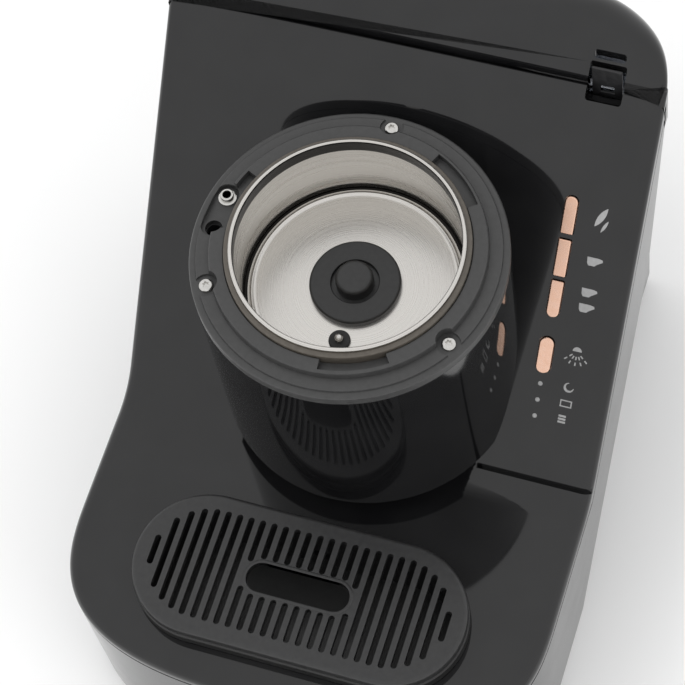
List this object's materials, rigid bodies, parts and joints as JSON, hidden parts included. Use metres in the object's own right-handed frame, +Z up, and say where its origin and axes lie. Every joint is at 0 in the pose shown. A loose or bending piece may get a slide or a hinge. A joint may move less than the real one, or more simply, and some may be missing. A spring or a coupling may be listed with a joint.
{
  "type": "countertop brewing machine",
  "caption": "Low countertop brewing machine with a sloped control panel, a round steel brewing chamber, a slotted drip tray in front and a lift-off rear water tank.",
  "frame": {"origin": "on the table, under the middle of the machine's box", "axes": "+X right, +Y to the back, +Z up; the drip tray faces -Y"},
  "size_m": [0.184, 0.244, 0.2097],
  "materials": {
    "gloss_black": "high gloss",
    "base_black": "gloss",
    "inner_black": "matt",
    "rubber": "matt",
    "steel_bright": "bright",
    "ring_satin": "satin",
    "gasket": "satin",
    "brushed_steel": "brushed in circles",
    "cast_aluminium": "cast",
    "ceramic": "matt",
    "hub_black": "satin",
    "knob_rubber": "satin",
    "copper_winding": "enamelled wire",
    "silicone": "translucent",
    "white_plastic": "matt",
    "tray_black": "satin",
    "grille_grey": "satin",
    "rose_gold": "satin rose gold",
    "light_guide": "clear",
    "icon_grey": "printed",
    "board_green": "solder mask",
    "tank_smoke": "smoked"
  },
  "bodies": {
    "machine": {"main_housing": "gloss_black", "base_shell": "base_black", "rear_shell": "base_black", "base_plate": "inner_black", "rubber_feet": "rubber", "base_screws": "steel_bright", "chamber_housing": "gloss_black", "top_ring": "ring_satin", "ring_screws": "steel_bright", "chamber_gasket": "gasket", "brew_chamber": "brushed_steel", "heater_ring": "cast_aluminium", "thermostat": "ceramic", "thermal_fuse": "ceramic", "hub_disc": "hub_black", "hub_nut": "steel_bright", "stopper_spring": "steel_bright", "outlet_body": "inner_black", "solenoid_coil": "copper_winding", "drain_tube": "silicone", "temperature_probe": "steel_bright", "probe_grommet": "rubber", "socket_block": "inner_black", "water_nipple": "steel_bright", "lid_switch": "inner_black", "tray_well": "inner_black", "status_lights": "light_guide", "panel_icons": "icon_grey", "control_board": "board_green", "tact_switches": "inner_black", "tank_socket": "inner_black", "inlet_filter": "steel_bright", "flow_meter": "white_plastic", "inlet_hose": "silicone", "pump_body": "inner_black", "pump_coil": "copper_winding", "pump_bracket": "inner_black", "feed_hose": "silicone", "power_board": "board_green", "mains_inlet": "inner_black"},
    "stopper": {"valve_stopper": "knob_rubber", "valve_stem": "steel_bright"},
    "drip_tray": {"drip_tray": "tray_black"},
    "grille": {"drip_grille": "grille_grey"},
    "button_strong": {"button_strong": "rose_gold"},
    "button_one_cup": {"button_one_cup": "rose_gold"},
    "button_two_cups": {"button_two_cups": "rose_gold"},
    "button_clean": {"button_clean": "rose_gold"},
    "tank": {"water_tank": "tank_smoke", "cover_hinge_pin": "steel_bright", "tank_seal": "rubber", "tank_valve_spring": "steel_bright", "valve_cage": "white_plastic"},
    "cover": {"tank_cover": "gloss_black"},
    "latch": {"cover_latch": "inner_black"},
    "tank_valve": {"tank_valve": "white_plastic"},
    "pump_piston": {"pump_piston": "steel_bright"}
  },
  "joints": [
    {"name": "stopper_lift", "type": "slide", "parent": "machine", "child": "stopper", "axis": [0, 0, 1], "range_m": [0, 0.004], "stiffness_N_per_m": 250, "deforming": ["stopper_spring"]},
    {"name": "tray_lift", "type": "slide", "parent": "machine", "child": "drip_tray", "axis": [0, 0, 1], "range_m": [0, 0.06]},
    {"name": "grille_lift", "type": "slide", "parent": "drip_tray", "child": "grille", "axis": [0, 0, 1], "range_m": [0, 0.04]},
    {"name": "button_strong_press", "type": "slide", "parent": "machine", "child": "button_strong", "axis": [0, 0.7373, -0.6756], "range_m": [0, 0.0008], "stiffness_N_per_m": 600},
    {"name": "button_one_cup_press", "type": "slide", "parent": "machine", "child": "button_one_cup", "axis": [0, 0.7373, -0.6756], "range_m": [0, 0.0008], "stiffness_N_per_m": 600},
    {"name": "button_two_cups_press", "type": "slide", "parent": "machine", "child": "button_two_cups", "axis": [0, 0.7373, -0.6756], "range_m": [0, 0.0008], "stiffness_N_per_m": 600},
    {"name": "button_clean_press", "type": "slide", "parent": "machine", "child": "button_clean", "axis": [0, 0.7373, -0.6756], "range_m": [0, 0.0008], "stiffness_N_per_m": 600},
    {"name": "tank_lift", "type": "slide", "parent": "machine", "child": "tank", "axis": [0, 0, 1], "range_m": [0, 0.18]},
    {"name": "cover_hinge", "type": "hinge", "parent": "tank", "child": "cover", "pos_m": [0, 0.114, 0.182], "axis": [-1, 0, 0], "range_deg": [0, 80]},
    {"name": "latch_press", "type": "slide", "parent": "cover", "child": "latch", "axis": [0, 1, 0], "range_m": [0, 0.0015], "stiffness_N_per_m": 600},
    {"name": "tank_valve_lift", "type": "slide", "parent": "tank", "child": "tank_valve", "axis": [0, 0, 1], "range_m": [0, 0.003], "stiffness_N_per_m": 250, "deforming": ["tank_valve_spring"]},
    {"name": "pump_stroke", "type": "slide", "parent": "machine", "child": "pump_piston", "axis": [0, 1, 0], "range_m": [-0.003, 0.003], "stiffness_N_per_m": 800}
  ]
}
